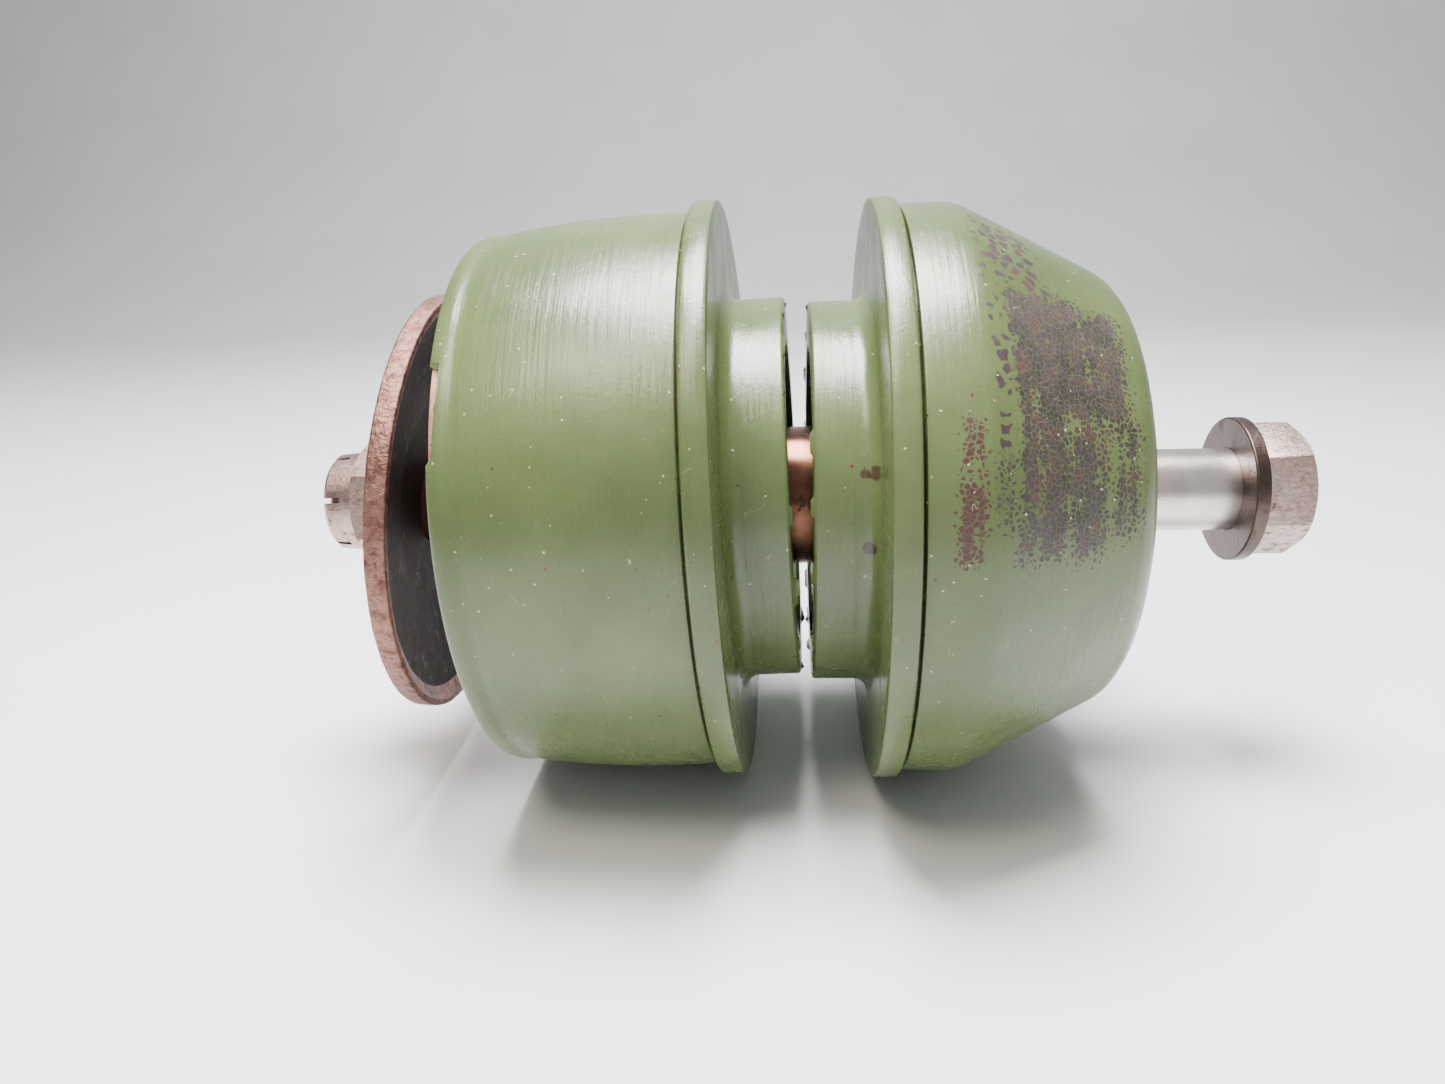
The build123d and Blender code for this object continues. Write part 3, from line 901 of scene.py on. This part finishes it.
def soft_light(name, place, target, size, power, code="ffffff"):
    """An area light aimed at a point."""
    lamp = bpy.data.lights.new(name, "AREA")
    lamp.size = size
    lamp.energy = power
    lamp.color = linear(code)[:3]
    holder = bpy.data.objects.new(name, lamp)
    bpy.context.scene.collection.objects.link(holder)
    holder.location = place
    aim = Vector(target) - Vector(place)
    holder.rotation_euler = aim.to_track_quat("-Z", "Y").to_euler()


MOUNT_MIDDLE = (0, 0, 0.04)
soft_light("overhead", (-0.02, 0.03, 0.50), MOUNT_MIDDLE, 0.24, 11.5)
soft_light("window", (-0.16, -0.22, 0.52), MOUNT_MIDDLE, 0.20, 2.0, "fff4e2")
soft_light("front_fill", (0.15, -0.80, 0.50), MOUNT_MIDDLE, 1.1, 1.8)
soft_light("backdrop", (0.0, 0.4, 1.1), (0, FLOOR_BACK, 0.5), 0.8, 10.0)

world = bpy.data.worlds.new("studio")
bpy.context.scene.world = world
world.use_nodes = True
background = world.node_tree.nodes["Background"]
background.inputs["Color"].default_value = linear("e6eaf0")
background.inputs["Strength"].default_value = 0.2

# ---------------------------------------------------------------- camera

IMAGE_WIDTH = 1445
FOCAL = 1000
SENSOR_WIDTH = 36
ELEVATION = math.radians(15)
CAMERA_DISTANCE = 140.27 * MM
CAMERA_ALONG = -1.94 * MM
CAMERA_YAW = math.radians(3.74)
CAMERA_PITCH = math.radians(-2.63)
CAMERA_ROLL = math.radians(0.82)

camera_data = bpy.data.cameras.new("camera")
camera_data.sensor_width = SENSOR_WIDTH
camera_data.lens = FOCAL / IMAGE_WIDTH * SENSOR_WIDTH
camera_data.clip_start = 0.005
camera = bpy.data.objects.new("camera", camera_data)
bpy.context.scene.collection.objects.link(camera)
raised = Matrix.Rotation(-ELEVATION, 4, "X")
aimed = (raised @ Matrix.Rotation(CAMERA_YAW, 4, "Z") @ Matrix.Rotation(CAMERA_PITCH, 4, "X")
         @ Matrix.Rotation(CAMERA_ROLL, 4, "Y"))
stand = raised @ Vector((CAMERA_ALONG, -CAMERA_DISTANCE, 0)) + Vector((0, 0, AXIS_HEIGHT))
# an unturned camera looks straight down, so it is first turned to look along +Y
camera.matrix_world = Matrix.Translation(stand) @ aimed @ Matrix.Rotation(math.pi / 2, 4, "X")
bpy.context.scene.camera = camera
